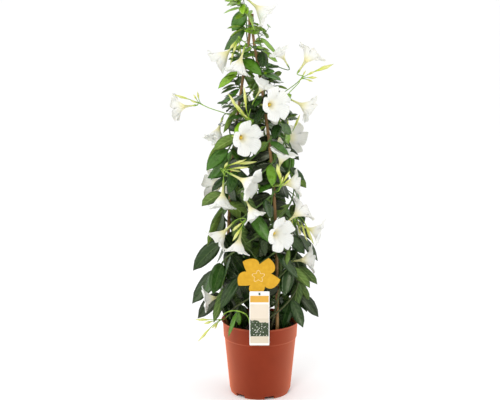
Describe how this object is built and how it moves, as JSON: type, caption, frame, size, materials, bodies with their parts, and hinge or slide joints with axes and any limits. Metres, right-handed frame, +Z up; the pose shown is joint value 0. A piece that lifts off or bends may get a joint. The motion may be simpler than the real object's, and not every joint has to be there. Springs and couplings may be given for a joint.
{
  "type": "potted mandevilla",
  "caption": "Flowering climber twined round bowed bamboo canes in a round nursery pot, with a stake card and a hanging label.",
  "frame": {"origin": "middle of the pot's foot, on the surface that it stands on", "axes": "+Z up, -Y towards the front with the card and label, +X to the viewer's right"},
  "size_m": [0.4226, 0.3519, 1.0538],
  "materials": {
    "terracotta_plastic": "satin",
    "peat": "matte",
    "bamboo": "satin",
    "green_wire": "satin",
    "yellow_card": "satin",
    "printed_label": "satin",
    "young_leaf": "satin",
    "leaf": "satin",
    "bud": "satin",
    "petal": "matte"
  },
  "bodies": {
    "root": {"pot": "terracotta_plastic", "soil": "peat", "cane_1": "bamboo", "cane_2": "bamboo", "cane_3": "bamboo", "cane_tie": "green_wire", "flower_card": "yellow_card", "label": "printed_label", "young_shoot": "young_leaf", "vine_1": "leaf", "vine_2": "leaf", "vine_3": "leaf", "shoot_1": "leaf", "shoot_2": "leaf", "shoot_3": "leaf", "shoot_4": "leaf", "shoot_5": "leaf", "shoot_6": "leaf", "spray_top": "bud", "spray_high_right": "bud", "spray_far_left": "bud", "spray_front_high": "bud", "spray_front_right": "bud", "spray_left": "bud", "spray_front_low": "bud", "spray_right": "bud", "spray_rim_left": "bud", "spray_back_high": "bud", "spray_back_right": "bud", "spray_back_left": "bud", "spray_back_low": "bud", "bloom_01": "petal", "bloom_02": "petal", "bloom_03": "petal", "bloom_04": "petal", "bloom_05": "petal", "bloom_06": "petal", "bloom_07": "petal", "bloom_08": "petal", "bloom_09": "petal", "bloom_10": "petal", "bloom_11": "petal", "bloom_12": "petal", "bloom_13": "petal", "bloom_14": "petal", "bloom_15": "petal", "bloom_16": "petal", "bloom_17": "petal", "bloom_18": "petal", "bloom_19": "petal", "bloom_20": "petal", "bloom_21": "petal", "bloom_22": "petal", "bloom_23": "petal"}
  },
  "joints": []
}
